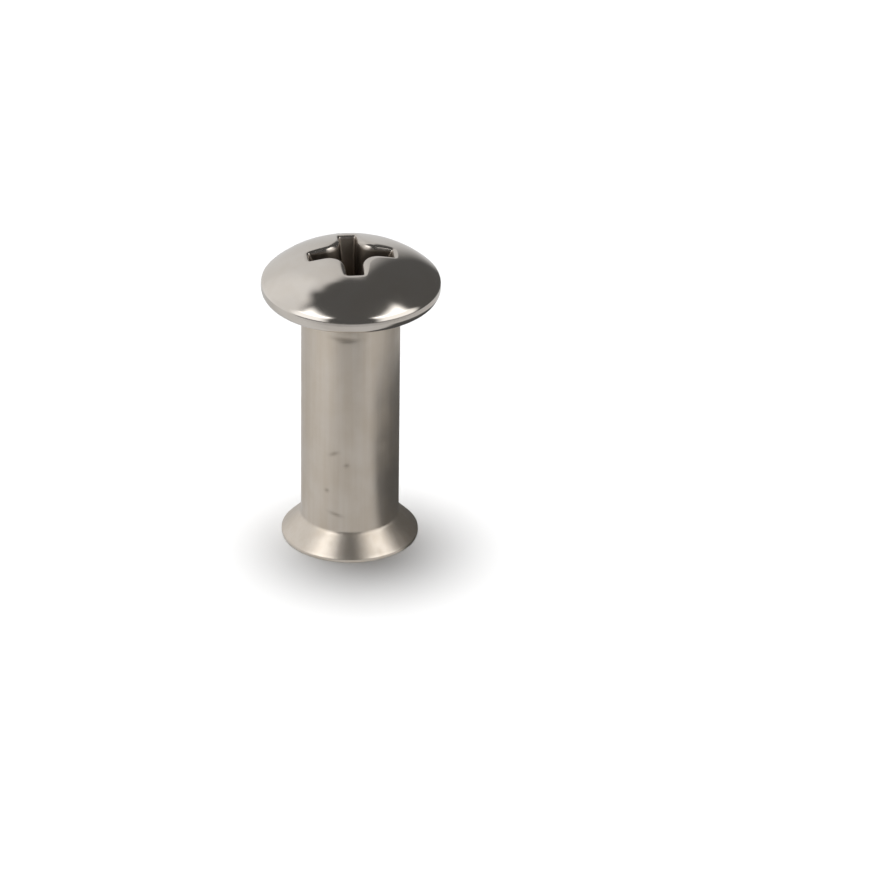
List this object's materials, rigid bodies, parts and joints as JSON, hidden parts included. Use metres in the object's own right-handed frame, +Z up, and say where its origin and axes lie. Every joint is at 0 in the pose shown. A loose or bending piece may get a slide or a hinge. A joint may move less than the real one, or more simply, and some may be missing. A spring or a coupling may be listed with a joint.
{
  "type": "binding barrel screw",
  "caption": "Closed binding barrel screw: smooth round barrel nut with a countersunk flat head, joined by a domed truss-head screw, cross recess in each head.",
  "frame": {"origin": "centre of the flat head's face, on which the closed screw stands", "axes": "+Z up the common axis of the barrel and the screw, from the flat head to the truss head; +X and +Y along the wings of both cross recesses"},
  "size_m": [0.0104, 0.0104, 0.0188],
  "materials": {
    "nickel_barrel": "nickel plate, satin from tumbling, with small dents",
    "nickel_head": "nickel plate, polished"
  },
  "bodies": {
    "barrel": {"barrel_nut": "nickel_barrel"},
    "screw": {"truss_screw": "nickel_head"}
  },
  "joints": [
    {"name": "unscrew", "type": "slide", "parent": "barrel", "child": "screw", "axis": [0, 0, 1], "range_m": [0, 0.0064]}
  ]
}
